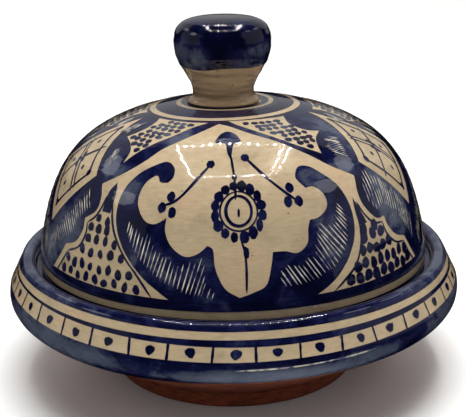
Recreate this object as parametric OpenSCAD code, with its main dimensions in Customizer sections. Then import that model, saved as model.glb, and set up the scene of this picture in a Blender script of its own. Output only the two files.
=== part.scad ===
// Lidded serving dish in the tagine family: a shallow footed dish with a thick
// banded rim, and a thrown dome lid with a mushroom knob that rests inside it.
// Millimetres, +Z up. The origin is on the table, under the middle of the dish.

/* [Dish] */
// Diameter across the widest part of the rim band
dish_d = 250; // [220:1:300]
// Height of the lip's crest above the table
dish_h = 68.8; // [66:0.1:76]
// Height of the widest part of the rim band
belly_z = 50.4; // [47:0.1:52]
// Thickness of the thrown walls
wall = 7; // [5:0.5:8]
// Depth of the lid's ledge below the lip's crest
ledge_drop = 7.5; // [6:0.5:9]
// Width of the ledge that carries the lid
ledge_w = 9.9; // [9:0.1:12]

/* [Foot ring] */
// Outside diameter of the foot ring
foot_d = 137; // [110:0.5:144]
// Height of the foot ring
foot_h = 8; // [5:0.5:10]
// Radial width of the foot ring
foot_w = 10; // [7:0.5:14]

/* [Lid] */
// Gap between the lid's edge and the lip around it
lid_gap = 3.7; // [2:0.1:4]
// Height of the dome from its foot to the seat of the knob
dome_h = 86.6; // [80:0.1:110]
// Height of the upright edge at the dome's foot
edge_h = 9.7; // [6:0.1:12]

/* [Knob] */
// Diameter of the knob's head
head_d = 51.2; // [42:0.2:58]
// Diameter of the knob's neck
neck_d = 32.8; // [26:0.2:36]
// Height of the knob above its seat
knob_h = 47.8; // [40:0.2:56]
// How far the hand-set knob sits off the lid's centre, along X
knob_shift = -3.8; // [-4.5:0.1:4.5]

/* [Hidden] */
$fn = 128;
curve_steps = 14;

cream = [0.79, 0.71, 0.57];
cobalt = [0.13, 0.15, 0.36];
terracotta = [0.44, 0.21, 0.12];

dish_r = dish_d / 2;
foot_r = foot_d / 2;
lip_round = 3.8;
lip_r = dish_r - 10.8;
lip_z = dish_h - lip_round;
ledge_r = lip_r - lip_round;
ledge_z = dish_h - ledge_drop;
floor_r = foot_r - wall / 2;

// The lid floats on the ledge by a hair, so the two bodies never overlap
seat_clearance = 0.3;
lid_r = ledge_r - lid_gap;
lid_z = ledge_z + seat_clearance;
seat_z = lid_z + dome_h;
seat_r = 26.5;

// Points of a cubic curve from a to d, drawn towards b and c
function curve(a, b, c, d) = [
    for (i = [0:curve_steps]) let (t = i / curve_steps, s = 1 - t)
        s * s * s * a + 3 * s * s * t * b + 3 * s * t * t * c + t * t * t * d
];

// Points of an arc about a centre, from one angle to another
function arc(centre, r, from, to) = [
    for (i = [0:curve_steps]) let (a = from + (to - from) * i / curve_steps)
        centre + r * [cos(a), sin(a)]
];

// A shallow thrown bowl: sloping underside, bellied rim band, rolled lip,
// and an overhanging ledge inside the lip that the lid rests on
module dish_bowl() {
    slope_end = [dish_r - 13, foot_h + 28];
    band_low = [dish_r - 0.5, belly_z + 2.4];
    band_tilt = 25;
    inner_slope = [dish_r - 19, foot_h + 24.5 + wall];
    under_ledge = [dish_r - 14, ledge_z - 11];
    color(cream)
    rotate_extrude()
    polygon(concat(
        [[0, foot_h], [foot_r, foot_h]],
        curve(slope_end, slope_end + [3, 2], [dish_r + 2.6, belly_z - 10.4], band_low),
        arc([lip_r, lip_z], lip_round, band_tilt, 180),
        [[ledge_r, ledge_z], [ledge_r - ledge_w, ledge_z], [ledge_r - ledge_w, ledge_z - 4.5]],
        curve(under_ledge, [dish_r - 10.5, ledge_z - 15], [dish_r - 13, foot_h + 28.5 + wall], inner_slope),
        [[floor_r, foot_h + wall], [0, foot_h + wall]]
    ));
}

// The unglazed ring that the dish stands on
module foot_ring() {
    edge = 1;
    color(terracotta)
    rotate_extrude()
    polygon([
        [foot_r - foot_w, foot_h], [foot_r - foot_w + edge, edge], [foot_r - foot_w + 2 * edge, 0],
        [foot_r - edge, 0], [foot_r, edge], [foot_r - 0.3, foot_h]
    ]);
}

// Half-section of the dome's skin, at a depth below the outer surface
function dome_line(depth) = curve(
    [lid_r - depth, lid_z + edge_h],
    [lid_r - 8.2 - depth * 0.9, lid_z + edge_h + (dome_h - edge_h) * 0.55 - depth * 0.3],
    [lid_r - 17.3 - depth * 0.9, seat_z - 8.4 - depth],
    [seat_r - depth * 0.3, seat_z - depth]
);

// The thrown dome, hollow below, with a flat seat on top for the knob
module lid_dome() {
    foot_round = 1.5;
    outer = dome_line(0);
    inner = dome_line(wall - 0.5);
    inner_r = lid_r - wall + 0.5;
    color(cream)
    rotate_extrude()
    polygon(concat(
        [[0, seat_z - wall + 0.5]],
        [for (i = [curve_steps:-1:0]) inner[i]],
        [[inner_r, lid_z + foot_round], [inner_r + foot_round, lid_z]],
        [[lid_r - foot_round, lid_z], [lid_r, lid_z + foot_round]],
        outer,
        [[0, seat_z]]
    ));
}

// The mushroom knob: flared foot, slim neck and broad rounded head
module lid_knob() {
    neck_r = neck_d / 2;
    head_r = head_d / 2;
    head_z = knob_h * 0.67;
    color(cobalt)
    translate([knob_shift, 0, seat_z])
    rotate_extrude()
    polygon(concat(
        [[0, 0]],
        curve([neck_r + 4, 0], [neck_r + 0.9, 1], [neck_r, 2.5], [neck_r, 5]),
        curve([neck_r, 5.5], [neck_r, 13], [head_r, head_z - 12], [head_r, head_z]),
        curve([head_r, head_z + 0.3], [head_r, head_z + 11], [head_r * 0.72, knob_h], [0, knob_h])
    ));
}

dish_bowl();
foot_ring();
lid_dome();
lid_knob();
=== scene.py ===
"""Hand-painted lidded serving dish: turned clay bodies, glaze coats and brushwork laid on them."""

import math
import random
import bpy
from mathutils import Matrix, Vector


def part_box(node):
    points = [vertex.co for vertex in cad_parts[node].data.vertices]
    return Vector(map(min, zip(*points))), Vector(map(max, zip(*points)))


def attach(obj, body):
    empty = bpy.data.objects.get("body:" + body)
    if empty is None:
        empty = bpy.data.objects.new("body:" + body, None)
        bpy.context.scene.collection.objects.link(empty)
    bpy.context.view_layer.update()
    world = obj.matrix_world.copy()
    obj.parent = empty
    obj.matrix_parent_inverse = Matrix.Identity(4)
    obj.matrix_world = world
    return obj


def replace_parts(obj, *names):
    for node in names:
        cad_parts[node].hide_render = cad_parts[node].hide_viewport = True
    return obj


bl_info = {
    "name": "Painted Lidded Dish",
    "version": (1, 0, 0),
    "blender": (4, 5, 0),
    "location": "3D View > Sidebar > Dish",
    "description": "Builds a footed dish with a dome lid, its glazes and its brushed pattern",
    "category": "Add Mesh",
}

import bpy
import numpy as np
from mathutils import Matrix, Vector, noise
from mathutils.geometry import delaunay_2d_cdt

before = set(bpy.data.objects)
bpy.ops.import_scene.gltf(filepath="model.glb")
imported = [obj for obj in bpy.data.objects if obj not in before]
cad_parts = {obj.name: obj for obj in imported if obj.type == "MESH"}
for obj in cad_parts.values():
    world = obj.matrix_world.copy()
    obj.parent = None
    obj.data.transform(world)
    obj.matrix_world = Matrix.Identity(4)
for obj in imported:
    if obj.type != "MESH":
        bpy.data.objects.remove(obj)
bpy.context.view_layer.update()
MM = 0.001

DISH_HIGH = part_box("dish_bowl")[1]
FOOT_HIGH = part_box("foot_ring")[1]
DOME_LOW, DOME_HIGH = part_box("lid_dome")
KNOB_LOW, KNOB_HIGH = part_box("lid_knob")

DISH_R = DISH_HIGH.x
LIP_ROUND = 3.8 * MM
LIP_R = DISH_R - 10.8 * MM
LEDGE_R = LIP_R - LIP_ROUND
LEDGE_Z = DISH_HIGH.z - 7.5 * MM
LEDGE_W = 9.9 * MM
BELLY_Z = 50.4 * MM
WALL = 7 * MM
DOME_WALL = 6.5 * MM
FOOT_R = FOOT_HIGH.x
FOOT_H = FOOT_HIGH.z
FOOT_W = 10 * MM
LID_R = DOME_HIGH.x
LID_Z = DOME_LOW.z
SEAT_Z = DOME_HIGH.z
SEAT_R = 26.5 * MM
EDGE_H = 9.7 * MM
KNOB_X = (KNOB_LOW.x + KNOB_HIGH.x) / 2
HEAD_R = (KNOB_HIGH.x - KNOB_LOW.x) / 2
NECK_R = 16.4 * MM
KNOB_H = KNOB_HIGH.z - SEAT_Z

# How far each coat stands above the clay
GLAZE_LIFT = 0.08 * MM
PAINT_LIFT = 0.16 * MM
DETAIL_LIFT = 0.24 * MM
SCRATCH_LIFT = 0.32 * MM
DIP_LIFT = 0.3 * MM

# About how many millimetres one degree of turn is on the dome
DEGREE_MM = 1.6


def linear(code):
    """Linear RGB from an sRGB hex colour such as "#C8B28A"."""
    parts = [int(code[i:i + 2], 16) / 255 for i in (1, 3, 5)]
    return [c / 12.92 if c <= 0.04045 else ((c + 0.055) / 1.055) ** 2.4 for c in parts]


# ---------------------------------------------------------------- settings


class DishColours(bpy.types.PropertyGroup):
    """Colours of the glazes and the clay."""

    cream: bpy.props.FloatVectorProperty(
        name="Cream glaze", description="Tin glaze that the pattern is painted on",
        subtype="COLOR", default=linear("#AE9B7D"))
    cobalt: bpy.props.FloatVectorProperty(
        name="Cobalt", description="Painted cobalt where the brush was full",
        subtype="COLOR", default=linear("#090C2B"))
    wash: bpy.props.FloatVectorProperty(
        name="Thin wash", description="Painted cobalt where the brush ran dry",
        subtype="COLOR", default=linear("#5B6272"))
    clay: bpy.props.FloatVectorProperty(
        name="Clay", description="Bare terracotta of the foot and underside",
        subtype="COLOR", default=linear("#7E3A1E"))
    neck: bpy.props.FloatVectorProperty(
        name="Neck", description="Stained glaze on the knob's neck",
        subtype="COLOR", default=linear("#9A8265"))


class DishSizes(bpy.types.PropertyGroup):
    """Sizes of the brushwork."""

    panels: bpy.props.IntProperty(
        name="Rim panels", description="Number of cream panels around the rim",
        default=38, min=12, max=72)
    line: bpy.props.FloatProperty(
        name="Fine line", description="Width of a fine brushed line",
        default=1.15 * MM, min=0.3 * MM, max=3 * MM, unit="LENGTH")
    scratch: bpy.props.FloatProperty(
        name="Scratch", description="Width of a line scratched through the cobalt",
        default=0.55 * MM, min=0.2 * MM, max=2 * MM, unit="LENGTH")
    throwing: bpy.props.FloatProperty(
        name="Throwing marks", description="Depth of the ridges left by the thrower's fingers",
        default=0.05 * MM, min=0, max=0.5 * MM, unit="LENGTH")


# ---------------------------------------------------------------- outlines


def cubic(a, b, c, d, steps=24):
    """Points of a cubic curve from a to d, drawn towards b and c."""
    points = []
    for i in range(steps + 1):
        t = i / steps
        s = 1 - t
        points.append(tuple(s ** 3 * p + 3 * s * s * t * q + 3 * s * t * t * u + t ** 3 * v
                            for p, q, u, v in zip(a, b, c, d)))
    return points


def arc(centre, radius, start, end, steps=16):
    """Points of an arc in degrees."""
    angles = [math.radians(start + (end - start) * i / steps) for i in range(steps + 1)]
    return [(centre[0] + radius * math.cos(a), centre[1] + radius * math.sin(a)) for a in angles]


def belly_outline():
    """Half-section of the dish's outside, from the foot to the ledge, and where the band begins."""
    start = (DISH_R - 13 * MM, FOOT_H + 28 * MM)
    end = (DISH_R - 0.5 * MM, BELLY_Z + 2.4 * MM)
    heel = cubic((FOOT_R - 1 * MM, FOOT_H), (FOOT_R + 6 * MM, FOOT_H + 3 * MM),
                 (start[0] - 8 * MM, start[1] - 5 * MM), start)
    belly = cubic(start, (start[0] + 3 * MM, start[1] + 2 * MM),
                  (DISH_R + 2.6 * MM, BELLY_Z - 10.4 * MM), end)
    lip = arc((LIP_R, DISH_HIGH.z - LIP_ROUND), LIP_ROUND, 25, 180)
    return heel[:-1] + belly, lip


def dome_outline(depth=0.0):
    """Half-section of the dome, from its upright edge to the knob's seat, at a depth in the clay."""
    rise = SEAT_Z - LID_Z - EDGE_H
    return cubic((LID_R - depth, LID_Z + EDGE_H),
                 (LID_R - 8.2 * MM - depth * 0.9, LID_Z + EDGE_H + rise * 0.55 - depth * 0.3),
                 (LID_R - 17.3 * MM - depth * 0.9, SEAT_Z - 8.4 * MM - depth),
                 (SEAT_R - depth * 0.3, SEAT_Z - depth), 80)


def soften(outline, radius):
    """Rounds each sharp corner of a half-section."""
    result = [outline[0]]
    for before, corner, after in zip(outline, outline[1:], outline[2:]):
        u = Vector(before) - Vector(corner)
        v = Vector(after) - Vector(corner)
        if u.length < 1e-7 or v.length < 1e-7 or u.angle(v) > math.radians(150):
            result.append(corner)
            continue
        cut = min(radius, u.length * 0.45, v.length * 0.45)
        a = Vector(corner) + u.normalized() * cut
        b = Vector(corner) + v.normalized() * cut
        for t in (0, 0.25, 0.5, 0.75, 1):
            result.append(tuple((1 - t) ** 2 * a + 2 * t * (1 - t) * Vector(corner) + t * t * b))
    return result + [outline[-1]]


def near_axis(r):
    """From 0 on the axis to 1 at 20 mm from it, so that unevenness fades out in the middle."""
    return np.clip(r / (20 * MM), 0, 1)


class Skin:
    """A turned surface. A place on it is a turn in degrees and a run in mm along its half-section."""

    def __init__(self, outline, zero=0, axis_x=0.0, ridges=0.0, wobble=0.25 * MM, seed=0.0):
        self.outline = np.array(outline)
        steps = np.hypot(*np.diff(self.outline, axis=0).T)
        self.runs = np.concatenate([[0], np.cumsum(steps)]) / MM
        self.runs -= self.runs[zero]
        self.axis_x = axis_x
        self.ridges = ridges
        self.wobble = wobble
        self.seed = seed

    def radius(self, run):
        return np.interp(run, self.runs, self.outline[:, 0])

    def run_at(self, radius):
        """Run of the last place along the section that has this radius."""
        return float(np.interp(-radius, -self.outline[:, 0], self.runs))

    def width(self, run):
        """Millimetres in one degree of turn."""
        return np.maximum(self.radius(run), 1 * MM) * math.pi / 180 / MM

    def swell(self, a):
        """How far the wall stands out of round at an angle in radians."""
        return (np.sin(2 * a + 1.1 + self.seed) + 0.6 * np.sin(3 * a + 2.3 * self.seed)) * self.wobble

    def raw(self, turn, run):
        """Places on the clay, with the thrower's unevenness."""
        r = np.interp(run, self.runs, self.outline[:, 0])
        z = np.interp(run, self.runs, self.outline[:, 1])
        a = np.radians(turn)
        ridge = np.sin(run * 0.95 + 1.4 * np.sin(a + self.seed) + self.seed) * 0.6
        ridge += np.sin(run * 1.71 + 0.8 * np.sin(2 * a) + 2 * self.seed) * 0.4
        r = r + near_axis(r) * (self.swell(a) + self.ridges * ridge)
        return np.stack([self.axis_x + r * np.sin(a), -r * np.cos(a), z], axis=-1)

    def lay(self, turn, run, lift):
        """Places and outward normals at a lift above the clay."""
        turn, run = np.asarray(turn, float), np.asarray(run, float)
        step = 0.35
        along = self.raw(turn, run + step) - self.raw(turn, run - step)
        around = self.raw(turn + step, run) - self.raw(turn - step, run)
        normal = np.cross(around, along)
        size = np.linalg.norm(normal, axis=-1, keepdims=True)
        normal = np.where(size > 1e-14, normal / np.maximum(size, 1e-14), (0, 0, 1))
        return self.raw(turn, run) + normal * lift, normal


def dish_skin(ridges):
    slope, lip = belly_outline()
    # The section runs on 5 mm across the ledge, so that the lip's cobalt can reach onto it as painted
    # shade in the groove under the lid's edge.
    inner = soften([lip[-1], (LEDGE_R, LEDGE_Z), (LEDGE_R - 5 * MM, LEDGE_Z)], 1.2 * MM)[1:]
    return Skin(slope + lip + inner, zero=len(slope) - 1, ridges=ridges, seed=0.7)


def dome_skin(ridges):
    side = dome_outline()
    foot = [(LID_R, LID_Z + 1.5 * MM)]
    return Skin(foot + side + [(0, SEAT_Z)], zero=1, ridges=ridges, wobble=0.2 * MM, seed=1.9)


def knob_skin():
    head_z = SEAT_Z + KNOB_H * 0.67
    foot = cubic((NECK_R + 1.8 * MM, SEAT_Z), (NECK_R + 4.6 * MM, SEAT_Z + 0.5 * MM),
                 (NECK_R + 2.8 * MM, SEAT_Z + 2.2 * MM), (NECK_R + 1.3 * MM, SEAT_Z + 3.2 * MM))
    foot += cubic((NECK_R + 1.0 * MM, SEAT_Z + 3.4 * MM), (NECK_R + 0.3 * MM, SEAT_Z + 4 * MM),
                  (NECK_R, SEAT_Z + 5 * MM), (NECK_R, SEAT_Z + 6 * MM))
    neck = cubic((NECK_R, SEAT_Z + 6.5 * MM), (NECK_R, SEAT_Z + 13.5 * MM),
                 (HEAD_R, head_z - 12 * MM), (HEAD_R, head_z))
    top = KNOB_HIGH.z - 2.1 * MM
    crown = cubic((HEAD_R, head_z + 0.3 * MM), (HEAD_R, head_z + 10.6 * MM),
                  (HEAD_R * 0.82, top), (0, top))
    return Skin(foot + neck + crown, axis_x=KNOB_X, ridges=0.14 * MM, wobble=0.1 * MM, seed=3.1)


# ---------------------------------------------------------------- meshes


def add_piece(name, points, faces, normals, material, body, wash=None):
    """A mesh object that rides on a body and takes the given material."""
    mesh = bpy.data.meshes.new(name)
    mesh.from_pydata([tuple(p) for p in points], [], faces)
    mesh.validate()
    mesh.materials.append(material)
    if wash is not None:
        layer = mesh.attributes.new("wash", "FLOAT", "POINT")
        layer.data.foreach_set("value", np.asarray(wash, float))
    mesh.shade_smooth()
    if normals is not None:
        mesh.normals_split_custom_set_from_vertices([tuple(n) for n in normals])
    piece = bpy.data.objects.new(name, mesh)
    bpy.context.scene.collection.objects.link(piece)
    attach(piece, body)
    return piece


def angles_round(segments):
    """Even angles round the axis, in radians."""
    return np.radians(np.arange(segments) * 360 / segments)


def ring_row(r, z, a):
    """Points round the axis at one height. The radius may change with the angle."""
    return np.stack([r * np.sin(a), -r * np.cos(a), np.full_like(a, z)], axis=-1)


def turned_body(name, outline, material, body, skin, segments=256, caps=(True, True)):
    """A body of revolution about the Z axis, as far out of round as the given skin, but with no
    finger ridges."""
    a = angles_round(segments)
    rows = [ring_row(r + skin.swell(a) * near_axis(r), z, a) for r, z in outline]
    return ring_mesh(name, rows, segments, material, body, caps)


def ring_mesh(name, rows, segments, material, body, caps=(False, False)):
    """Rows of points joined round the axis, with a flat cap on the first or last row if asked."""
    points = np.concatenate(rows)
    faces = []
    for i in range(len(rows) - 1):
        for j in range(segments):
            k = (j + 1) % segments
            faces.append((i * segments + j, i * segments + k,
                          (i + 1) * segments + k, (i + 1) * segments + j))
    if caps[0]:
        faces.append(tuple(reversed(range(segments))))
    if caps[1]:
        faces.append(tuple((len(rows) - 1) * segments + j for j in range(segments)))
    return add_piece(name, points, faces, None, material, body)


class Coat:
    """One colour of paint on a skin, gathered as flat shapes in turn and run and laid on at the end."""

    def __init__(self, skin, lift):
        self.skin = skin
        self.lift = lift
        self.places = []
        self.faces = []

    def add(self, places, faces):
        first = len(self.places)
        self.places.extend(places)
        self.faces.extend([tuple(first + i for i in face) for face in faces])

    def band(self, low, high, step=2.0, segments=300):
        """A strip right round the skin between two edges, each a run or a function of the turn."""
        low_at = low if callable(low) else lambda turn: low
        high_at = high if callable(high) else lambda turn: high
        rows = max(1, math.ceil((high_at(0) - low_at(0)) / step))
        places = []
        for j in range(segments):
            turn = 360 * j / segments
            a, b = low_at(turn), high_at(turn)
            places.extend((turn, a + (b - a) * i / rows) for i in range(rows + 1))
        faces = []
        for j in range(segments):
            k = (j + 1) % segments
            for i in range(rows):
                a, b = j * (rows + 1) + i, k * (rows + 1) + i
                faces.append((a, b, b + 1, a + 1))
        self.add(places, faces)

    def fill(self, outline, spacing=2.4):
        """A filled shape, with inner points so that it follows the skin's curve."""
        edge = np.array(outline)
        wide = float(self.skin.width(edge[:, 1].mean()))
        flat = edge * (wide, 1)
        low, high = flat.min(axis=0), flat.max(axis=0)
        inner = []
        for row, y in enumerate(np.arange(low[1] + spacing / 2, high[1], spacing * 0.87)):
            for x in np.arange(low[0] + spacing * (0.5 + 0.5 * (row % 2)), high[0], spacing):
                near = np.hypot(flat[:, 0] - x, flat[:, 1] - y).min()
                if near > 0.45 * spacing and contains(flat, x, y):
                    inner.append((x, y))
        points = [Vector(p) for p in flat] + [Vector(p) for p in inner]
        found = delaunay_2d_cdt(points, [], [list(range(len(flat)))], 1, 1e-5)
        self.add([(v.x / wide, v.y) for v in found[0]], [tuple(f) for f in found[2]])

    def stroke(self, path, width, taper=0.25):
        """A brushed line along a path, narrower at its ends. The width is in mm."""
        pts = np.array(path)
        scale = np.stack([self.skin.width(pts[:, 1]), np.ones(len(pts))], axis=-1)
        run = np.gradient(pts, axis=0) * scale
        run /= np.maximum(np.linalg.norm(run, axis=1, keepdims=True), 1e-9)
        side = np.stack([-run[:, 1], run[:, 0]], axis=-1) / scale
        t = np.linspace(0, 1, len(pts))
        full = np.clip(np.minimum(t, 1 - t) / 0.12, 0, 1)
        half = width / 2 * (taper + (1 - taper) * np.sin(full * math.pi / 2))
        half = half * (1 + 0.12 * np.sin(t * 9 + pts[0, 0]))
        left, right = pts + side * half[:, None], pts - side * half[:, None]
        places = [tuple(p) for pair in zip(left, right) for p in pair]
        faces = [(2 * i, 2 * i + 1, 2 * i + 3, 2 * i + 2) for i in range(len(pts) - 1)]
        self.add(places, faces)

    def dot(self, turn, run, width, height, lean=0.0, drop=0.0, steps=16):
        """A brushed oval dot, its size in mm, a little different each time. A drop narrows below."""
        per = float(self.skin.width(run))
        places = [(turn, run)]
        for i in range(steps):
            a = 2 * math.pi * i / steps
            grow = 1 + 0.24 * noise.noise(Vector((turn, run, 3 * math.cos(a))))
            x = width / 2 * math.cos(a) * grow * (1 + drop * math.sin(a))
            y = height / 2 * math.sin(a) * grow
            places.append((turn + (x + lean * y) / per, run + y))
        self.add(places, [(0, i + 1, (i + 1) % steps + 1) for i in range(steps)])

    def dotted(self, outline, across, down, width, height, margin):
        """Rows of dots inside an outline, clear of its edge by a margin in mm."""
        edge = np.array(outline)
        for row, run in enumerate(np.arange(edge[:, 1].min() + margin, edge[:, 1].max(), down)):
            per = float(self.skin.width(run))
            flat = edge * (per, 1)
            start = flat[:, 0].min() + (0.25 + 0.5 * (row % 2)) * across
            for x in np.arange(start, flat[:, 0].max(), across):
                x += 0.25 * math.sin(x + 2 * row)
                y = run + 0.3 * math.sin(1.7 * x + row)
                if contains(flat, x, y) and np.hypot(flat[:, 0] - x, flat[:, 1] - y).min() > margin:
                    self.dot(x / per, y, width * (1 + 0.15 * math.sin(5 * x)), height, drop=0.2)

    def placed(self, spots, other):
        """Copies another coat's shapes: each spot is a middle, a sideways scale, a shift and a sway."""
        for middle, scale, shift, sway in spots:
            places = []
            for turn, run in other.places:
                bend = sway * math.sin(run * 0.06 + turn * 0.05)
                places.append((middle + scale * turn + 0.4 * bend, run + shift + bend))
            self.add(places, other.faces)

    def lay(self, name, material, body, slot, spots=()):
        """Lays the coat on its skin as one piece, with a wash value where the paint ran thin and where
        a reflection is painted.
        """
        turn, run = np.array(self.places).T
        points, normals = self.skin.lay(turn, run, self.lift)
        faces = [outward(face, turn, run) for face in self.faces]
        wash = np.zeros(len(turn))
        for middle, height, half_turn, half_run, strength in spots:
            away = ((turn - middle + 180) % 360 - 180) / half_turn
            reach = np.sqrt(away ** 2 + ((run - height) / half_run) ** 2)
            wash = np.maximum(wash, strength * np.clip(1.6 - 1.1 * reach, 0, 1))
        return add_piece(name, points, faces, normals, material, body, wash)


def outward(face, turn, run):
    """The face's corners in the order that makes it look outwards."""
    x = [(turn[i] - turn[face[0]] + 180) % 360 - 180 for i in face]
    y = [run[i] for i in face]
    area = sum(x[i - 1] * y[i] - x[i] * y[i - 1] for i in range(len(face)))
    return face if area > 0 else tuple(reversed(face))


def contains(outline, x, y):
    """Whether a flat outline goes round a point."""
    px, py = outline[:, 0], outline[:, 1]
    qx, qy = np.roll(px, -1), np.roll(py, -1)
    crosses = (py > y) != (qy > y)
    with np.errstate(divide="ignore", invalid="ignore"):
        at = px + (y - py) * (qx - px) / (qy - py)
    return bool(np.sum(crosses & (x < at)) % 2)


def flow(knots, step=1.2):
    """A smooth line through given knots of (turn, run)."""
    pts = [Vector(p) for p in knots]
    if len(pts) == 2:
        wide, tall = abs(pts[1].x - pts[0].x) * DEGREE_MM, abs(pts[1].y - pts[0].y)
        count = max(2, round(max(wide, tall) / step))
        return [tuple(pts[0].lerp(pts[1], i / count)) for i in range(count + 1)]
    ends = [pts[0] * 2 - pts[1]] + pts + [pts[-1] * 2 - pts[-2]]
    line = []
    for p, q, r, s in zip(ends, ends[1:], ends[2:], ends[3:]):
        count = max(2, round(math.hypot((r.x - q.x) * DEGREE_MM, r.y - q.y) / step))
        for i in range(count):
            t = i / count
            line.append(tuple(0.5 * (2 * q + (r - p) * t + (2 * p - 5 * q + 4 * r - s) * t * t
                                     + (3 * q - p - 3 * r + s) * t ** 3)))
    return line + [tuple(pts[-1])]


def outline_of(*lines):
    """A closed outline from smooth lines that meet at sharp corners."""
    outline = []
    for knots in lines:
        outline.extend(flow(knots)[:-1])
    return outline


# ---------------------------------------------------------------- the dome's pattern

# Every place below is a turn in degrees from the middle of a panel, and a run in mm up the dome.

FIELD = outline_of(
    [(-8, 105.5), (-14.2, 99), (-21.7, 90), (-29, 80), (-33.3, 70), (-38.5, 61.5), (-45.6, 53)],
    [(-45.6, 53), (-43.4, 46), (-43.7, 39.5), (-47.6, 34.3)],
    [(-47.6, 34.3), (-47.3, 28.5), (-49.5, 21.8), (-54.3, 18.3)],
    [(-54.3, 18.3), (-56.3, 12.5), (-59.8, 3.8)],
    [(-59.8, 3.8), (0, 3.6), (62.5, 4)],
    [(62.5, 4), (60, 10.5), (57.5, 18)],
    [(57.5, 18), (53, 21), (50.2, 26.5), (49.3, 32.2)],
    [(49.3, 32.2), (45.5, 32.8), (42, 40.5), (41.7, 48), (43.7, 56)],
    [(43.7, 56), (36.5, 64), (31, 72.5), (25, 80.5), (20, 86.5), (10, 94.5), (0, 102), (-8, 105.5)],
)
UPPER_LEFT = outline_of(
    [(-15.5, 106.4), (-23, 100.2), (-30, 90), (-36, 81.5), (-40, 73), (-42, 66.5)],
    [(-42, 66.5), (-43.2, 74), (-47.5, 79.3), (-54, 83)],
    [(-54, 83), (-51.3, 89), (-50.3, 95), (-51.8, 100.5), (-55, 104.2)],
    [(-55, 104.2), (-36, 105.2), (-15.5, 106.4)],
)
UPPER_RIGHT = outline_of(
    [(-2, 109), (4, 104), (10, 99.5), (20, 90.5), (30, 79.5), (36.5, 72.5)],
    [(36.5, 72.5), (38.3, 79), (41.5, 84), (47.5, 88)],
    [(47.5, 88), (41, 91.5), (37.5, 98), (38, 103), (42, 108.6)],
    [(42, 108.6), (20, 109.2), (-2, 109)],
)
SCROLLS = outline_of(
    [(-21, 59.3), (-19.7, 62.5), (-20.4, 67.8), (-24, 71.3), (-28.5, 68), (-33, 61.5),
     (-35.8, 51), (-35.2, 38), (-31.5, 25.5), (-25, 13.5), (-16.5, 3.2)],
    [(-16.5, 3.2), (2, 3), (21.5, 3.2)],
    [(21.5, 3.2), (27.5, 9.2), (32.5, 18), (36, 29), (36.8, 42), (35, 53.5), (31, 61.5),
     (27.5, 66.3), (23.6, 66.6), (21.3, 60.8), (23.5, 54.9)],
    [(23.5, 54.9), (26.5, 54.8), (29, 50), (28.6, 43.8), (25.3, 39.8), (22.3, 39.2)],
    [(22.3, 39.2), (21.3, 35), (20.5, 28.5), (17.5, 24.6), (14, 26), (10.6, 26.2)],
    [(10.6, 26.2), (9.9, 19.5), (8.4, 11), (5, 7.8), (1.5, 5.6)],
    [(1.5, 5.6), (-2.2, 10), (-4.6, 19), (-5.3, 27.8), (-6.8, 29.9)],
    [(-6.8, 29.9), (-9.5, 25.9), (-13, 24.5), (-16.8, 28.8), (-18.9, 35.5), (-19, 41.8)],
    [(-19, 41.8), (-22.5, 38.3), (-26, 40), (-29.2, 48), (-28.9, 57.2), (-26.2, 62.4), (-24.9, 62)],
    [(-24.9, 62), (-23.6, 59.2), (-21, 59.3)],
)
FLOWER = outline_of(
    [(-7.6, 87.8), (-6.8, 91), (-5.5, 94.5), (-2.6, 97), (0.6, 96), (3, 93), (4.6, 88)],
    [(4.6, 88), (3.2, 86.1), (2, 87)],
    [(2, 87), (0.8, 84.8), (0.3, 80), (-0.3, 74)],
    [(-0.3, 74), (-1.7, 79), (-2.3, 84.5), (-3.4, 87)],
    [(-3.4, 87), (-4.6, 85.9), (-5.6, 86.9)],
    [(-5.6, 86.9), (-6.6, 86.4), (-7.6, 87.8)],
)
LEFT_FINGER = outline_of(
    [(-41.2, 40), (-41.1, 50), (-39.4, 55.5)],
    [(-39.4, 55.5), (-38.1, 50), (-37.8, 40)],
    [(-37.8, 40), (-41.2, 40)],
)
RIGHT_FINGER = outline_of(
    [(38.2, 32), (38.1, 40), (38.7, 45.8)],
    [(38.7, 45.8), (39.9, 39.5), (41.4, 32)],
    [(41.4, 32), (38.2, 32)],
)

# Rows of dots between the panels: height, first turn, last turn, how many
DOT_ROWS = [
    (6.6, -53.4, -26, 9), (12.2, -52, -28.4, 8), (19.6, -46, -31.4, 5), (26, -44.2, -34.2, 4),
    (31.4, -44, -37.6, 3), (36, -41.6, -38, 2),
    (7, 32.4, 57.2, 9), (12.9, 35.2, 56, 8), (19.4, 37.8, 48.8, 5), (25.8, 39, 46.2, 3),
    (29.8, 39.4, 44, 2),
]
FINE_LINES = [
    [(-38.1, 46), (-36.8, 38.5), (-34.6, 30.5), (-30.5, 21), (-26, 13), (-21.5, 3.6)],
    [(-41.2, 48), (-41.8, 42), (-43.2, 36.8), (-46, 32.8)],
    [(-46, 33), (-45.7, 27), (-47.8, 19.8), (-52.7, 15.6)],
    [(-52.6, 15.8), (-55.2, 8.5), (-57.3, 3.6)],
    [(38.6, 44), (38.6, 35), (37.6, 24), (35, 14.5), (31, 8.5), (27, 3.8)],
    [(39.6, 43), (41, 37), (44, 30.9), (47.8, 29.8)],
    [(47.7, 30), (48.7, 23.5), (52, 17.6), (56.4, 15.8)],
    [(56.3, 16), (58.4, 9), (60.6, 3.8)],
    [(1, 51.5), (1, 58), (0.7, 65), (0.2, 71), (-0.2, 77)],
    [(2.2, 32), (3, 28), (3.4, 20), (3.3, 7.5)],
]

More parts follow.
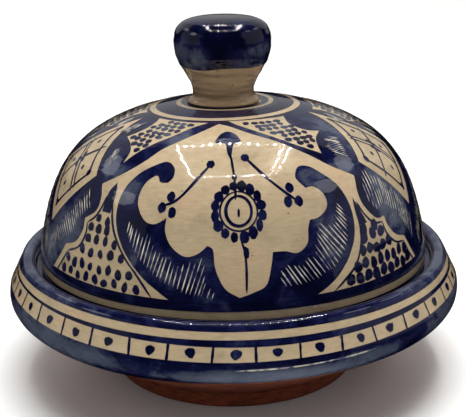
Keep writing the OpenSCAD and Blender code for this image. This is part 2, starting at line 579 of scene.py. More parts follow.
# Bundles of scratched lines: knots of the line of their tops and of their feet, and how many
SCRATCHES = [
    ([(-30.7, 38), (-28.6, 34.5), (-26.3, 33), (-24.2, 31.5), (-22.1, 29.3), (-20, 24), (-17, 20.5),
      (-13.9, 19.5), (-10.9, 20.3), (-8.2, 22), (-7.2, 13), (-4.7, 7)],
     [(-30.9, 34), (-28.9, 28), (-27, 24), (-25.3, 21), (-23.3, 18), (-21.4, 15.5), (-18.2, 12),
      (-15, 10), (-12.8, 8), (-10.7, 7.5), (-8.4, 6.5), (-5.1, 5)], 25),
    ([(12.1, 12.5), (13, 17.5), (14, 19.3), (17.2, 18.3), (19.8, 19), (22.3, 22.5), (24.2, 28.5),
      (25.2, 34), (29.5, 35), (30.9, 38.2), (31.7, 40.5), (32.5, 45)],
     [(13, 9.8), (15.5, 10), (17.2, 10), (19.9, 11), (22.4, 11.7), (25.3, 14.5), (27.8, 16),
      (30.8, 21.5), (32.8, 26.5), (33.6, 31), (34, 35.5), (33.7, 42)], 25),
    ([(-49.5, 48.5), (-51, 45), (-53.5, 38.5), (-55, 34), (-58, 30), (-60.5, 26), (-63, 22.5),
      (-65, 18), (-66.4, 13.5)],
     [(-46.3, 40.5), (-48.2, 38), (-51, 33), (-51.6, 27), (-54, 23), (-56.5, 20), (-59.5, 15.5),
      (-62, 11), (-65.3, 6.5)], 24),
    ([(44.6, 48), (46.2, 52), (48.2, 56.5), (49.8, 54), (53.2, 50), (56.2, 45), (58.6, 40), (60.6, 36),
      (64.8, 25)],
     [(44.4, 43), (45.8, 39), (47, 37.5), (49, 38), (51.5, 39), (53.8, 30.5), (57, 29), (58.9, 25),
      (62.8, 14)], 20),
    ([(-51.6, 74.5), (-49.4, 73.8), (-48, 70.5), (-46.8, 68)],
     [(-51, 71), (-50.2, 68.3), (-49.4, 65.8), (-48, 62.5)], 6),
    ([(-56.4, 97), (-58.6, 95.5), (-61, 93), (-63, 90)],
     [(-56.6, 85), (-58.8, 86), (-61.2, 85), (-63.2, 83)], 7),
    ([(41.6, 71.8), (42.4, 76), (44.8, 80), (47.6, 82.5)],
     [(46.4, 66), (48.2, 70.8), (49.6, 75.6), (51.6, 80)], 10),
]

# Where the cobalt ran thin, and some pale patches that are painted reflections of the lights: turn,
# run, half width, half height, strength
THIN_PAINT_AND_PAINTED_REFLECTIONS = [
    (27, 59.5, 6, 5, 0.3), (-32.5, 53, 3.4, 8, 0.3), (-45.5, 62, 7, 5, 0.3), (41, 61.5, 7, 5, 0.4),
    (-24, 88, 6, 10, 0.3), (20, 89, 8, 6, 0.3), (-57, 24, 8, 14, 0.45), (57, 40, 8, 20, 0.5),
    (-66, 12, 8, 10, 0.6), (54, 84, 8, 14, 0.3), (-20, 82, 4, 8, 0.25),
    (28, 28, 6, 12, 0.3), (-17, 19, 12, 8, 0.2), (-34, 98, 16, 9, 0.3), (20, 98, 20, 9, 0.3),
    (150, 60, 16, 20, 0.5), (-140, 30, 18, 16, 0.5), (95, 90, 14, 16, 0.45), (-95, 70, 10, 18, 0.4),
]


def paint_rosette(brush):
    """The daisy in the middle: an eye, two rings and a ring of petals."""
    middle, height = 1.8, 46.2
    brush.dot(middle, height - 1, 1.3, 4.0)
    for wide, tall, width in ((3.7, 7.2, 1.5), (5.4, 9.5, 0.9)):
        ring = [(middle + wide * math.sin(a / 24 * math.pi), height + tall * math.cos(a / 24 * math.pi))
                for a in range(49)]
        brush.stroke(ring, width, taper=0.8)
    petals = 16
    for i in range(petals):
        a = (i + 0.5) / petals * 2 * math.pi
        wide = 4.1 + 0.5 * math.sin(5 * a)
        tall = 5.6 + 0.6 * math.sin(3 * a)
        brush.dot(middle + 6.9 * math.sin(a), height + 12.6 * math.cos(a), wide, tall)


def paint_sprig(brush, line, bead, berries):
    """A curved twig with a bead at its top and three berries at its foot."""
    brush.stroke(flow(line), 1.5, taper=0.6)
    brush.dot(*bead, 4.2, 5)
    for turn, run in berries:
        brush.dot(turn, run, 4.3, 5.4)


def paint_panel(brush, line_width):
    """Everything in cobalt on one cream panel and on the dotted fields beside it."""
    brush.fill(SCROLLS)
    brush.fill(FLOWER, 1.8)
    brush.fill(LEFT_FINGER, 1.8)
    brush.fill(RIGHT_FINGER, 1.8)
    for line in FINE_LINES:
        brush.stroke(flow(line), line_width)
    paint_rosette(brush)
    paint_sprig(brush, [(-8, 70), (-10.5, 64.5), (-13, 58.5), (-15.5, 53), (-17.8, 49.6), (-20, 48)],
                (-7.7, 71.2), [(-18.7, 52.3), (-20.9, 46.6), (-17.6, 44.6)])
    paint_sprig(brush, [(5.6, 74.5), (11, 63.4), (16, 54.6), (19, 50)],
                (5.2, 75.3), [(18.2, 56), (16.8, 49), (20.1, 48.8)])
    brush.dot(0.9, 63.4, 2.6, 3.2)
    brush.dot(3.5, 26.4, 3, 6.4)
    for run, first, last, count in DOT_ROWS:
        for i in range(count):
            turn = first + (last - first) * i / max(1, count - 1)
            wide, tall = (3.8, 4.8) if turn < 0 else (4.9, 5.9)
            brush.dot(turn, run + 0.6 * math.sin(3 * turn), wide + 0.5 * math.sin(4.1 * turn + run),
                      tall + 0.5 * math.sin(2.3 * turn), lean=0.15 * math.sin(turn), drop=-0.15)
    for shape in (UPPER_LEFT, UPPER_RIGHT):
        brush.dotted(shape, across=4.1, down=3.8, width=3.7, height=3.4, margin=1.9)


def scratch_panel(scratch, width, dice):
    """Bundles of fine lines scratched through the cobalt, evenly spaced along each bundle."""
    for tops, feet, count in SCRATCHES:
        tops, feet = np.array(tops), np.array(feet)
        middle = (tops + feet) / 2 * (1.7, 1)
        along = np.concatenate([[0], np.cumsum(np.hypot(*np.diff(middle, axis=0).T))])
        for i in range(count):
            at = np.interp((i + dice.uniform(0.35, 0.65)) / count * along[-1], along, range(len(along)))
            k = min(int(at), len(tops) - 2)
            top = tops[k] + (tops[k + 1] - tops[k]) * (at - k)
            foot = feet[k] + (feet[k + 1] - feet[k]) * (at - k)
            top, foot = top + (top - foot) * dice.uniform(-0.05, 0.22), foot + (foot - top) * 0.06
            line = flow([tuple(top), tuple(foot)], 2)
            scratch.stroke(line, width * dice.uniform(0.6, 1.3), taper=0.15)


def paint_lozenge(reserve, brush, middle, lift, left, right, line_width):
    """A cream lozenge between two panels, with a crossed lattice and dots. Its left and right are
    its half widths in degrees, and its lift is how far it sits above the usual height."""
    usual_height = 60

    def place(x, y):
        return middle + (right if x > 0 else left) * x, usual_height + lift + y

    def loop(side, top, low, waist):
        corners = [(0, top), (-side, waist), (0, low), (side, waist), (0, top)]
        return [[place(*p), place(*q)] for p, q in zip(corners, corners[1:])]

    reserve.fill(outline_of(*loop(side=1, top=39, low=-36, waist=-4)))
    for line in loop(side=0.74, top=27, low=-27, waist=-4):
        brush.stroke(flow(line), line_width * 1.2, taper=0.8)
    for x, y in ((0, 26), (-0.71, -4), (0, -26), (0.71, -4)):
        brush.dot(*place(x, y), 3.2, 4.4)
    for flip in (-1, 1):
        for apart in (-1.6, 1.6):
            start, middle_way, end = (-0.47 * flip, 11.5), (0, 0), (0.44 * flip, -15.5)
            points = [place(x + 0.02 * apart, y + apart * 0.75) for x, y in (start, middle_way, end)]
            brush.stroke(flow(points), line_width, taper=0.8)
    for x, y in ((0, 13), (0, -15), (-0.36, -3), (0.36, -3)):
        brush.dot(*place(x, y), 2.2, 2.8)
    for x, y in ((-0.1, 0), (0.1, 0), (0, 3.4), (0, -3.4)):
        brush.dot(*place(x, y), 2.8, 3.2)


# ---------------------------------------------------------------- materials


def add_node(tree, kind, links=None, stops=None, numbers=None, **settings):
    """Adds a node, sets its sockets and options by name or its sockets by number, and links the
    given sockets."""
    made = tree.nodes.new(kind)
    for name, value in settings.items():
        socket = made.inputs.get(name.replace("_", " "))
        if socket is not None and not hasattr(made, name):
            socket.default_value = value
        else:
            setattr(made, name, value)
    for place, value in (numbers or {}).items():
        made.inputs[place].default_value = value
    if stops:
        ramp = made.color_ramp
        while len(ramp.elements) < len(stops):
            ramp.elements.new(0.5)
        for element, (place, colour) in zip(ramp.elements, stops):
            element.position = place
            element.color = (*colour[:3], 1)
    for name, source in (links or {}).items():
        tree.links.new(source, made.inputs[name])
    return made


def start_material(name, **constants):
    """A material with its shader's constant sockets set, and its object coordinates."""
    material = bpy.data.materials.new(name)
    material.use_nodes = True
    tree = material.node_tree
    shader = tree.nodes["Principled BSDF"]
    for socket, value in constants.items():
        shader.inputs[socket.replace("_", " ")].default_value = value
    coords = add_node(tree, "ShaderNodeTexCoord").outputs["Object"]
    return material, tree, shader, coords


def per_metre(size_mm):
    """Scale of a noise whose features are about this size in millimetres."""
    return 1 / (size_mm * MM)


def glaze_surface(tree, shader, coords, strength):
    """Fired glaze pools and pulls: a slow swell, fine orange peel and pinholes in the bump, and
    a sheen that is smeared in places."""
    swell = add_node(tree, "ShaderNodeTexNoise", {"Vector": coords}, Scale=per_metre(14), Detail=1.0)
    peel = add_node(tree, "ShaderNodeTexNoise", {"Vector": coords}, Scale=per_metre(1.6), Detail=3.0)
    pits = add_node(tree, "ShaderNodeTexVoronoi", {"Vector": coords}, Scale=per_metre(4.5))
    pit_mask = add_node(tree, "ShaderNodeMapRange", {"Value": pits.outputs["Distance"]},
                        From_Min=0.03, From_Max=0.10, To_Min=-1.0, To_Max=0.0)
    height = add_node(tree, "ShaderNodeMath", {0: swell.outputs["Fac"]}, numbers={1: 2.2},
                      operation="MULTIPLY")
    peeled = add_node(tree, "ShaderNodeMath", {0: peel.outputs["Fac"], 2: height.outputs[0]},
                      numbers={1: 0.18}, operation="MULTIPLY_ADD")
    total = add_node(tree, "ShaderNodeMath", {0: pit_mask.outputs["Result"], 2: peeled.outputs[0]},
                     numbers={1: 0.5}, operation="MULTIPLY_ADD")
    bump = add_node(tree, "ShaderNodeBump", {"Height": total.outputs[0]},
                    Strength=strength, Distance=0.35 * MM)
    tree.links.new(bump.outputs["Normal"], shader.inputs["Normal"])
    smear = add_node(tree, "ShaderNodeTexNoise", {"Vector": coords}, Scale=per_metre(22), Detail=4.0)
    gloss = add_node(tree, "ShaderNodeMapRange", {"Value": smear.outputs["Fac"]},
                     From_Min=0.3, From_Max=0.7, To_Min=0.12, To_Max=0.26)
    tree.links.new(gloss.outputs["Result"], shader.inputs["Roughness"])


def cream_tin_glaze(colour, name="cream_tin_glaze"):
    """Opaque tin glaze, dipped over red clay: warm cream, clouded pink and grey where it is thin,
    with iron specks and a hard, wet gloss."""
    material, tree, shader, coords = start_material(name, IOR=1.5, Specular_IOR_Level=0.06,
                                                    Coat_Weight=1.0, Coat_Roughness=0.035)
    base = Vector(colour)
    cloud = add_node(tree, "ShaderNodeTexNoise", {"Vector": coords}, Scale=per_metre(26), Detail=5.0,
                     Roughness=0.62, Distortion=0.6)
    tint = add_node(tree, "ShaderNodeValToRGB", {"Fac": cloud.outputs["Fac"]}, stops=[
        (0.30, base * 0.72), (0.43, base * 0.93), (0.55, base),
        (0.72, Vector((base.x * 1.08, base.y * 0.95, base.z * 0.95)))])
    turned = add_node(tree, "ShaderNodeMapping", {"Vector": coords}, Scale=(1.0, 1.0, 5.0))
    fine = add_node(tree, "ShaderNodeTexNoise", {"Vector": turned.outputs[0]}, Scale=per_metre(5),
                    Detail=5.0, Roughness=0.6)
    grain = add_node(tree, "ShaderNodeMapRange", {"Value": fine.outputs["Fac"]},
                     From_Min=0.3, From_Max=0.7, To_Min=0.86, To_Max=1.08)
    grained = add_node(tree, "ShaderNodeVectorMath",
                       {0: tint.outputs["Color"], "Scale": grain.outputs["Result"]},
                       operation="SCALE")
    specks = add_node(tree, "ShaderNodeTexVoronoi", {"Vector": coords}, Scale=per_metre(5.5))
    speck_mask = add_node(tree, "ShaderNodeMapRange", {"Value": specks.outputs["Distance"]},
                          From_Min=0.05, From_Max=0.12, To_Min=0.75, To_Max=0.0)
    rarely = add_node(tree, "ShaderNodeMath", {0: specks.outputs["Color"]}, numbers={1: 0.62},
                      operation="GREATER_THAN")
    speck = add_node(tree, "ShaderNodeMath", {0: speck_mask.outputs["Result"], 1: rarely.outputs[0]},
                     operation="MULTIPLY")
    mixed = add_node(tree, "ShaderNodeMix", {"Factor": speck.outputs[0], 6: grained.outputs[0]},
                     numbers={7: (*linear("#5B4630"), 1)}, data_type="RGBA")
    tree.links.new(mixed.outputs[2], shader.inputs["Base Color"])
    glaze_surface(tree, shader, coords, 0.5)
    return material


def stained_neck_glaze(colour):
    """Thin tin glaze on the knob's neck, worn by hands: brown stain has settled in the rings that
    the thrower's fingers left, so the neck looks banded."""
    material = cream_tin_glaze(colour, "stained_neck_glaze")
    tree = material.node_tree
    shader = tree.nodes["Principled BSDF"]
    glaze = shader.inputs["Base Color"].links[0].from_socket
    coords = add_node(tree, "ShaderNodeTexCoord").outputs["Object"]
    flat = add_node(tree, "ShaderNodeMapping", {"Vector": coords}, Scale=(0.08, 0.08, 1.0))
    rings = add_node(tree, "ShaderNodeTexNoise", {"Vector": flat.outputs[0]}, Scale=per_metre(2.8),
                     Detail=3.0)
    stain = add_node(tree, "ShaderNodeMapRange", {"Value": rings.outputs["Fac"]},
                     From_Min=0.38, From_Max=0.56, To_Min=0.72, To_Max=1.25)
    banded = add_node(tree, "ShaderNodeVectorMath", {0: glaze, "Scale": stain.outputs["Result"]},
                      operation="SCALE")
    tree.links.new(banded.outputs[0], shader.inputs["Base Color"])
    return material


def cobalt_brushwork(colour, wash, name="cobalt_brushwork", streaks=0.45):
    """Cobalt brushed under a clear glaze: near-black where the brush was full, blue then grey where
    it ran thin and at patches of painted reflection, streaked along the stroke."""
    material, tree, shader, coords = start_material(name, IOR=1.5, Specular_IOR_Level=0.06,
                                                    Coat_Weight=1.0, Coat_Roughness=0.035)
    full, thin = Vector(colour), Vector(wash)
    pool = add_node(tree, "ShaderNodeTexNoise", {"Vector": coords}, Scale=per_metre(17), Detail=4.0,
                    Roughness=0.6, Distortion=1.2)
    streak_map = add_node(tree, "ShaderNodeMapping", {"Vector": coords}, Scale=(1.0, 1.0, 4.0))
    streak = add_node(tree, "ShaderNodeTexNoise", {"Vector": streak_map.outputs[0]},
                      Scale=per_metre(6), Detail=6.0, Roughness=0.7)
    # The wash attribute pales the cobalt where the paint ran thin, and on the dome also at pale patches
    # of painted reflection
    thin_paint_and_painted_reflection = add_node(tree, "ShaderNodeAttribute", attribute_name="wash")
    load = add_node(tree, "ShaderNodeMath", {0: pool.outputs["Fac"], 1: thin_paint_and_painted_reflection.outputs["Fac"]},
                    operation="ADD")
    blend = add_node(tree, "ShaderNodeMath", {0: streak.outputs["Fac"], 2: load.outputs[0]},
                     numbers={1: streaks}, operation="MULTIPLY_ADD")
    tint = add_node(tree, "ShaderNodeValToRGB", {"Fac": blend.outputs[0]}, stops=[
        (0.55, full * 0.45), (0.72, full), (0.88, full * 1.5 + thin * 0.04),
        (1.0, full * 0.8 + thin * 0.25)])
    pale = add_node(tree, "ShaderNodeMapRange", {"Value": blend.outputs[0]},
                    From_Min=0.95, From_Max=1.6, To_Min=0.0, To_Max=1.0)
    mixed = add_node(tree, "ShaderNodeMix",
                     {"Factor": pale.outputs["Result"], 6: tint.outputs["Color"]},
                     numbers={7: (*wash, 1)}, data_type="RGBA")
    tree.links.new(mixed.outputs[2], shader.inputs["Base Color"])
    glaze_surface(tree, shader, coords, 0.45)
    return material


def scratched_cobalt():
    """Cobalt scratched away with a point: the pale glaze below shows, still a little stained."""
    material, tree, shader, coords = start_material("scratched_cobalt", IOR=1.5, Coat_Weight=0.4,
                                                    Coat_Roughness=0.035)
    wear = add_node(tree, "ShaderNodeTexNoise", {"Vector": coords}, Scale=per_metre(4), Detail=4.0)
    tint = add_node(tree, "ShaderNodeValToRGB", {"Fac": wear.outputs["Fac"]}, stops=[
        (0.36, linear("#4A5068")), (0.50, linear("#A9A49B")), (0.66, linear("#D6CCB6"))])
    tree.links.new(tint.outputs["Color"], shader.inputs["Base Color"])
    glaze_surface(tree, shader, coords, 0.4)
    return material


def bare_terracotta(colour):
    """Bare fired red clay, turned on the wheel: matt, streaked round by the turning tool and
    scorched darker in places."""
    material, tree, shader, coords = start_material("bare_terracotta", Roughness=0.82, IOR=1.45)
    base = Vector(colour)
    turned = add_node(tree, "ShaderNodeMapping", {"Vector": coords}, Scale=(1.0, 1.0, 7.0))
    tool = add_node(tree, "ShaderNodeTexNoise", {"Vector": turned.outputs[0]}, Scale=per_metre(8),
                    Detail=5.0, Roughness=0.6)
    tint = add_node(tree, "ShaderNodeValToRGB", {"Fac": tool.outputs["Fac"]}, stops=[
        (0.30, base * 0.35), (0.45, base * 0.75), (0.58, base), (0.75, base * 1.35)])
    grit = add_node(tree, "ShaderNodeTexNoise", {"Vector": coords}, Scale=per_metre(0.9), Detail=3.0)
    shade = add_node(tree, "ShaderNodeMapRange", {"Value": grit.outputs["Fac"]},
                     From_Min=0.3, From_Max=0.7, To_Min=0.75, To_Max=1.15)
    mixed = add_node(tree, "ShaderNodeVectorMath",
                     {0: tint.outputs["Color"], "Scale": shade.outputs["Result"]}, operation="SCALE")
    tree.links.new(mixed.outputs[0], shader.inputs["Base Color"])
    height = add_node(tree, "ShaderNodeMath", {0: tool.outputs["Fac"], 1: grit.outputs["Fac"]},
                      operation="ADD")
    bump = add_node(tree, "ShaderNodeBump", {"Height": height.outputs[0]}, Strength=0.7,
                    Distance=0.4 * MM)
    tree.links.new(bump.outputs["Normal"], shader.inputs["Normal"])
    return material


def floor_paper():
    """Matt white background paper: pale, with no gloss."""
    material, _, shader, _ = start_material("floor_paper", Roughness=0.9)
    shader.inputs["Base Color"].default_value = (*linear("#E9E9E7"), 1)
    return material


# ---------------------------------------------------------------- pieces


def turn_dish(sizes, colours):
    """The clay dish with its ledge and hollow, the glaze that lines it, and its foot ring."""
    slope, lip = belly_outline()
    ledge = [(LEDGE_R, LEDGE_Z), (LEDGE_R - LEDGE_W, LEDGE_Z), (LEDGE_R - LEDGE_W, LEDGE_Z - 4.5 * MM)]
    hollow = cubic((DISH_R - 14 * MM, LEDGE_Z - 11 * MM), (DISH_R - 10.5 * MM, LEDGE_Z - 15 * MM),
                   (DISH_R - 13 * MM, FOOT_H + 28.5 * MM + WALL),
                   (DISH_R - 19 * MM, FOOT_H + 24.5 * MM + WALL))
    floor = [(FOOT_R - WALL / 2, FOOT_H + WALL), (30 * MM, FOOT_H + WALL), (2 * MM, FOOT_H + WALL)]
    outline = [(2 * MM, FOOT_H), (FOOT_R - 3 * MM, FOOT_H)] + slope + lip + ledge + hollow + floor
    skin = dish_skin(sizes.throwing)
    clay = bare_terracotta(colours.clay)
    body = turned_body("dish_bowl_clay", soften(outline, 1.2 * MM), clay, "dish", skin)
    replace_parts(body, "dish_bowl")
    inside = soften(lip[-4:] + ledge + hollow + floor, 1.2 * MM)
    lining = turned_body("dish_inside_glaze", [(r - 0.05 * MM, z + 0.06 * MM) for r, z in inside],
                         bpy.data.materials["cream_tin_glaze"], "dish", skin,
                         caps=(False, True))
    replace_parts(lining, "dish_bowl")
    edge, inner = 1 * MM, FOOT_R - FOOT_W
    section = [(inner, FOOT_H), (inner + edge, edge), (inner + 2 * edge, 0),
               (FOOT_R - edge, 0), (FOOT_R, edge), (FOOT_R - 0.3 * MM, FOOT_H)]
    soft = soften(section, 0.8 * MM)
    segments = 192
    rows = [ring_row(r, z, angles_round(segments)) for r, z in soft + [soft[0]]]
    ring = ring_mesh("foot_ring_clay", rows, segments, clay, "dish")
    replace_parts(ring, "foot_ring")


def sway_of(turn, phase, depth):
    """Slow, hand-held drift of a painted edge, the same after a full turn."""
    a = math.radians(turn)
    return depth * (0.6 * math.sin(2 * a + phase) + 0.4 * math.sin(5 * a + 2 * phase))


def gather(turn, middle, half):
    """One at the middle turn, falling smoothly to zero half a width away."""
    away = abs((turn - middle + 180) % 360 - 180) / half
    return 0.5 + 0.5 * math.cos(math.pi * min(away, 1))


def glaze_rim(sizes, cream, cobalt):
    """The rim's cream band with its panels and dots, its cobalt lines, lip and belly. Runs are in
    mm up from the place where the belly's curve ends."""
    skin = dish_skin(sizes.throwing)
    wash_low, panel_low, line_top, lip_low = -13.2, 0.2, 10.3, 14.1
    lip_and_ledge_shade_end = float(skin.runs[-1]) - 1
    dice = random.Random(11)

    def rise(turn):
        return 0.9 * (1 - math.cos(math.radians(2 * turn)))

    def panel_top(turn):
        return 6.9 + rise(turn) + 1.5 * gather(turn, -50, 65) + 0.5 * gather(turn, 60, 60)

    ground = Coat(skin, GLAZE_LIFT)
    ground.band(-1.5, 16, 0.5)
    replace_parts(ground.lay("rim_cream_glaze", cream, "dish", "cream_glaze"), "dish_bowl")

    belly = Coat(skin, PAINT_LIFT)
    belly.band(lambda turn: wash_low + sway_of(turn, 0.4, 1.6),
               lambda turn: panel_low + rise(turn), 0.5)
    belly.band(panel_top, lambda turn: line_top + 0.5 * rise(turn) + sway_of(turn, 2.2, 0.2), 1.5)
    # The lip's cobalt runs over its crest, down the inner wall and onto the ledge. On the ledge it is
    # painted shade for the dark groove under the lid.
    belly.band(lambda turn: lip_low + 0.8 * gather(turn, -40, 40) - 2.6 * gather(turn, -100, 40),
               lambda turn: lip_and_ledge_shade_end + sway_of(turn, 1.4, 0.6), 1.0)
    thin = [(8, -8, 22, 4, 0.75), (30, -6, 10, 4, 0.4), (-52, -5, 28, 7, 0.5), (70, 18, 30, 6, 0.3),
            (-75, 18, 30, 6, 0.3), (66, -4, 16, 7, 0.45), (180, -6, 40, 5, 0.5)]
    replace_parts(belly.lay("rim_cobalt_bands_and_ledge_shade", cobalt, "dish", "cobalt_glaze", thin), "dish_bowl")

    detail = Coat(skin, DETAIL_LIFT)
    pitch = 360 / sizes.panels
    for i in range(sizes.panels):
        turn = (i + 0.48) * pitch + dice.uniform(-0.5, 0.5)
        lean = dice.uniform(-0.25, 0.25)
        line = [(turn - lean, -0.4 + rise(turn)), (turn, 3.6 + rise(turn)),
                (turn + lean, panel_top(turn) + 0.4)]
        detail.stroke(flow(line, 0.5), sizes.line / MM * dice.uniform(0.85, 1.2), taper=0.8)
        middle = turn + pitch / 2 + dice.uniform(-0.6, 0.6)
        detail.dot(middle, 3.9 + rise(middle) + dice.uniform(-0.3, 0.3), dice.uniform(3.9, 5.2),
                   dice.uniform(3.9, 4.7), lean=dice.uniform(-0.15, 0.15), drop=0.3)
    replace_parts(detail.lay("rim_panel_brushwork", cobalt, "dish", "cobalt_glaze"), "dish_bowl")

    nick = Coat(skin, DETAIL_LIFT)
    nick.stroke(flow([(0, -3.6), (8, -3.5), (16, -3.3), (24, -3), (32, -2.6)], 1.5), 0.7, taper=0.2)
    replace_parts(nick.lay("rim_scraped_line", bpy.data.materials["scratched_cobalt"], "dish",
                         "cream_glaze"), "dish_bowl")


def turn_dome(sizes, cream):
    """The dome's clay in its cream dip, hollow, with a rounded foot."""
    skin = dome_skin(sizes.throwing)
    inner_r = LID_R - DOME_WALL
    foot = [(inner_r, LID_Z + 1.5 * MM), (inner_r + 1.5 * MM, LID_Z),
            (LID_R - 1.5 * MM, LID_Z), (LID_R, LID_Z + 1.5 * MM)]
    under = list(reversed(dome_outline(DOME_WALL)))[::2]
    outline = [(1 * MM, SEAT_Z - DOME_WALL)] + under + foot + dome_outline() + [(1 * MM, SEAT_Z)]
    body = turned_body("lid_dome_clay", soften(outline, 0.8 * MM), cream, "lid", skin,
                       segments=300)
    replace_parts(body, "lid_dome")


def paint_dome(sizes, cream, cobalt, scratched):
    """The dome's painting: a cobalt ground with cream reserves, brushwork and scratched lines, and a
    cobalt band of painted shade low on the upright edge.
    """
    skin = dome_skin(sizes.throwing)
    dice = random.Random(5)
    line_width = sizes.line / MM
    crown = skin.run_at(16.5 * MM)
    ground = Coat(skin, GLAZE_LIFT)
    # The first band is painted shade: cobalt low on the lid's upright edge, where it sits in the dark
    # groove inside the dish's lip. The second is the pattern's cobalt ground.
    ground.band(-EDGE_H / MM + 1.4, lambda turn: -5.2 + sway_of(turn, 2.1, 0.3), 1.5)
    ground.band(lambda turn: -1.4 + sway_of(turn, 0.9, 0.3), crown, 1.5)

    reserve, brush, scratch = (Coat(skin, lift) for lift in (PAINT_LIFT, DETAIL_LIFT, SCRATCH_LIFT))
    for shape in (FIELD, UPPER_LEFT, UPPER_RIGHT):
        reserve.fill(shape)
    paint_panel(brush, line_width)
    scratch_panel(scratch, sizes.scratch / MM, dice)

    # The front panel is the widest of three, and the left one is its mirror image. Lozenges stand
    # between them.
    half_front = 67
    half_back = (360 - 2 * half_front) / 4
    squeeze = half_back / half_front
    back = half_front + half_back
    spots = [(0, 1, 0, 0), (back, squeeze, 0.6, 0.7), (-back, -squeeze, -0.4, 0.8)]
    coats = {}
    for name, coat in (("reserve", reserve), ("brush", brush), ("scratch", scratch)):
        coats[name] = Coat(skin, coat.lift)
        coats[name].placed(spots, coat)
    paint_lozenge(coats["reserve"], coats["brush"], -67.6, 0, 14, 17, line_width)
    paint_lozenge(coats["reserve"], coats["brush"], 67.2, 6, 17, 14, line_width)
    paint_lozenge(coats["reserve"], coats["brush"], 180, 2, 14, 14, line_width)

    for outer, inner in ((40.6, 37.3), (26.4, 23.8)):
        coats["reserve"].band(lambda turn, r=outer: ring_run(skin, turn, r),
                              lambda turn, r=inner: ring_run(skin, turn, r), 1.2)
    pieces = [ground.lay("dome_cobalt_ground_and_groove_shade", cobalt, "lid", "cobalt_glaze", THIN_PAINT_AND_PAINTED_REFLECTIONS),
              coats["reserve"].lay("dome_cream_reserves", cream, "lid", "cream_glaze"),
              coats["brush"].lay("dome_brushwork", cobalt, "lid", "cobalt_glaze", THIN_PAINT_AND_PAINTED_REFLECTIONS),
              coats["scratch"].lay("dome_scratched_lines", scratched, "lid", "cream_glaze")]
    for piece in pieces:
        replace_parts(piece, "lid_dome")


def ring_run(skin, turn, radius_mm):
    """Run of a banded ring that was turned a little off the dome's centre, like the knob."""
    shift_x, shift_y = KNOB_X / MM * 0.85, 1.2
    a = math.radians(turn)
    along = shift_x * math.sin(a) - shift_y * math.cos(a)
    reach = along + math.sqrt(radius_mm ** 2 - (shift_x ** 2 + shift_y ** 2 - along ** 2))
    return skin.run_at(reach * MM)


def make_knob(cream_neck, cobalt):
    """The knob: a stained neck with throwing rings, and a head dipped in cobalt."""
    skin = knob_skin()
    top = float(skin.runs[-1])
    neck = Coat(skin, 0.0)
    neck.band(0, top - 0.8, 1.0, 160)
    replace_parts(neck.lay("knob_neck_glaze", cream_neck, "lid", "cream_glaze"), "lid_knob")
    dip = Coat(skin, DIP_LIFT)
    dip_low = 24.6
    dip.band(lambda turn: dip_low + sway_of(turn, 0.5, 0.9), top - 0.1, 1.0, 160)
    thin = [(-56, 31, 34, 8, 0.5), (50, 34, 26, 5, 0.45), (44, 27, 28, 4, 0.4)]
    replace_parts(dip.lay("knob_cobalt_dip", cobalt, "lid", "cobalt_glaze", thin), "lid_knob")


# ---------------------------------------------------------------- stage


# Where the camera stands, how far it looks down and rolls in degrees, and its lens in mm
CAMERA_PLACE = (0.0003, -0.551, 0.2606)
CAMERA_DOWN = 17.47
CAMERA_ROLL = -0.95
CAMERA_LENS = 79.87

# Half the floor's width in metres, how far out along its way each soft box stands, and the width
# of a small lamp
FLOOR_HALF = 4.0
BOX_REACH = 1.25
LAMP_SIZE = 8 * MM


def add_light(name, place, target, size, energy, shape="RECTANGLE"):
    """A white area light of some watts, turned towards its target."""
    data = bpy.data.lights.new(name, "AREA")
    data.shape = shape
    data.size, data.size_y = size
    data.energy = energy
    light = bpy.data.objects.new(name, data)
    light.location = place
    light.rotation_euler = (Vector(target) - Vector(place)).to_track_quat("-Z", "Y").to_euler()
    bpy.context.scene.collection.objects.link(light)
    return light


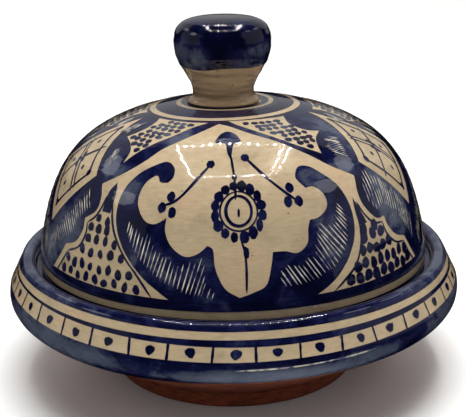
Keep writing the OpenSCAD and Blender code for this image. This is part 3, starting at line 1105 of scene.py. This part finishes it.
def set_stage():
    """Camera, pale floor and soft studio lights."""
    scene = bpy.context.scene
    data = bpy.data.cameras.new("camera")
    data.sensor_width = 36
    data.lens = CAMERA_LENS
    camera = bpy.data.objects.new("camera", data)
    down = Matrix.Rotation(math.radians(90 - CAMERA_DOWN), 4, "X")
    roll = Matrix.Rotation(math.radians(CAMERA_ROLL), 4, "Z")
    camera.matrix_world = Matrix.Translation(CAMERA_PLACE) @ (down @ roll)
    scene.collection.objects.link(camera)
    scene.camera = camera

    floor = bpy.data.meshes.new("floor")
    signs = ((-1, -1), (1, -1), (1, 1), (-1, 1))
    floor.from_pydata([(x * FLOOR_HALF, y * FLOOR_HALF, 0) for x, y in signs], [], [(0, 1, 2, 3)])
    floor.materials.append(floor_paper())
    plane = bpy.data.objects.new("floor", floor)
    scene.collection.objects.link(plane)
    # The pale floor lights the belly from below, and the gloss doesn't mirror it
    plane.visible_glossy = False

    middle = Vector((0, 0, 0.12))
    soft_boxes = (("left_box", (-0.82, -0.13, 0.55), (0.36, 0.26), 0.4),
                  ("right_box", (0.72, -0.14, 0.67), (0.32, 0.24), 0.35),
                  ("rear_left_box", (-0.68, 0.41, 0.60), (0.40, 0.22), 0.25),
                  ("rear_right_box", (0.67, 0.34, 0.66), (0.36, 0.22), 0.25))
    for name, way, size, energy in soft_boxes:
        add_light(name, middle + Vector(way) * BOX_REACH, middle, size, energy, shape="ELLIPSE")
    add_light("back_wall", (0, 1.9, 1.2), middle, (4.6, 1.9), 8)
    # Wide, dim walls at the sides, for the gloss to mirror
    add_light("left_wall", (-2.3, -0.2, 0.9), middle, (2.8, 1.8), 3)
    add_light("right_wall", (2.3, -0.2, 0.9), middle, (2.8, 1.8), 4)
    # These only brighten the glaze and the floor, and aren't mirrored in the gloss
    add_light("ceiling", (0, -0.05, 1.8), middle, (1.4, 1.4), 24).visible_glossy = False
    add_light("front_wall", (0, -1.9, 1.15), middle, (4.4, 1.0), 8).visible_glossy = False
    add_light("far_floor", (0, 2.6, 1.6), Vector((0, 2.2, 0)), (3.0, 2.0), 45).visible_glossy = False
    # A frame of small lamps overhead: corners in the order far left, far right, near right, near left
    corners = [Vector(c) for c in ((-0.32, 0.56, 1.12), (0.31, 0.56, 1.12), (0.30, -0.19, 1.12),
                                   (-0.30, -0.19, 1.12))]
    # Each side's lamps, watts and gap between rows. The right side has two rows, and shows as the
    # broadest line.
    sides = ((12, 0.22, 0), (24, 0.15, 0.05), (13, 0.3, 0), (14, 0.1, 0))
    for i, (count, watts, apart) in enumerate(sides):
        for j in range(count):
            place = corners[i].lerp(corners[(i + 1) % 4], j / count)
            place.x += apart * (j % 2)
            add_light(f"lamp_{i}_{j}", place, middle, (LAMP_SIZE, LAMP_SIZE), watts)
    world = bpy.data.worlds.new("studio")
    world.use_nodes = True
    background = world.node_tree.nodes["Background"]
    background.inputs["Color"].default_value = (*linear("#FAFBFF"), 1)
    background.inputs["Strength"].default_value = 0.14
    scene.world = world
    world.cycles_visibility.glossy = False
    scene.view_settings.view_transform = "Standard"


# ---------------------------------------------------------------- operators


class DISH_OT_clay(bpy.types.Operator):
    """Mix the glazes, turn the dish and its foot ring in clay, and line the dish"""

    bl_idname = "dish.turn_clay"
    bl_label = "Turn Dish and Foot"

    def execute(self, context):
        scene = context.scene
        cream_tin_glaze(scene.dish_colours.cream)
        cobalt_brushwork(scene.dish_colours.cobalt, scene.dish_colours.wash)
        scratched_cobalt()
        turn_dish(scene.dish_sizes, scene.dish_colours)
        return {"FINISHED"}


class DISH_OT_rim(bpy.types.Operator):
    """Glaze the rim and brush its panels"""

    bl_idname = "dish.glaze_rim"
    bl_label = "Glaze Rim"

    def execute(self, context):
        materials = bpy.data.materials
        glaze_rim(context.scene.dish_sizes, materials["cream_tin_glaze"], materials["cobalt_brushwork"])
        return {"FINISHED"}


class DISH_OT_dome(bpy.types.Operator):
    """Turn the dome and paint it"""

    bl_idname = "dish.make_dome"
    bl_label = "Make Painted Dome"

    def execute(self, context):
        sizes = context.scene.dish_sizes
        materials = bpy.data.materials
        cream, cobalt = materials["cream_tin_glaze"], materials["cobalt_brushwork"]
        turn_dome(sizes, cream)
        paint_dome(sizes, cream, cobalt, materials["scratched_cobalt"])
        return {"FINISHED"}


class DISH_OT_knob(bpy.types.Operator):
    """Make the knob"""

    bl_idname = "dish.make_knob"
    bl_label = "Make Knob"

    def execute(self, context):
        neck = stained_neck_glaze(context.scene.dish_colours.neck)
        colours = context.scene.dish_colours
        make_knob(neck, cobalt_brushwork(colours.cobalt, colours.wash, "cobalt_dip", streaks=0.2))
        return {"FINISHED"}


class DISH_OT_stage(bpy.types.Operator):
    """Set the camera, floor and lights"""

    bl_idname = "dish.set_stage"
    bl_label = "Set Stage"

    def execute(self, context):
        set_stage()
        return {"FINISHED"}


class DISH_PT_panel(bpy.types.Panel):
    """Steps of the dish in the order they are made"""

    bl_label = "Painted Dish"
    bl_idname = "DISH_PT_panel"
    bl_space_type = "VIEW_3D"
    bl_region_type = "UI"
    bl_category = "Dish"

    def draw(self, context):
        layout = self.layout
        for group in (context.scene.dish_sizes, context.scene.dish_colours):
            for name in group.bl_rna.properties.keys():
                if name not in ("rna_type", "name"):
                    layout.prop(group, name)
        for operator in OPERATORS:
            layout.operator(operator.bl_idname)


OPERATORS = (DISH_OT_clay, DISH_OT_rim, DISH_OT_dome, DISH_OT_knob, DISH_OT_stage)
CLASSES = (DishColours, DishSizes) + OPERATORS + (DISH_PT_panel,)


def register():
    for cls in CLASSES:
        bpy.utils.register_class(cls)
    bpy.types.Scene.dish_colours = bpy.props.PointerProperty(type=DishColours)
    bpy.types.Scene.dish_sizes = bpy.props.PointerProperty(type=DishSizes)


def unregister():
    del bpy.types.Scene.dish_sizes
    del bpy.types.Scene.dish_colours
    for cls in reversed(CLASSES):
        bpy.utils.unregister_class(cls)


def main():
    register()
    bpy.ops.dish.turn_clay()
    bpy.ops.dish.glaze_rim()
    bpy.ops.dish.make_dome()
    bpy.ops.dish.make_knob()
    bpy.ops.dish.set_stage()


if __name__ == "__main__":
    main()
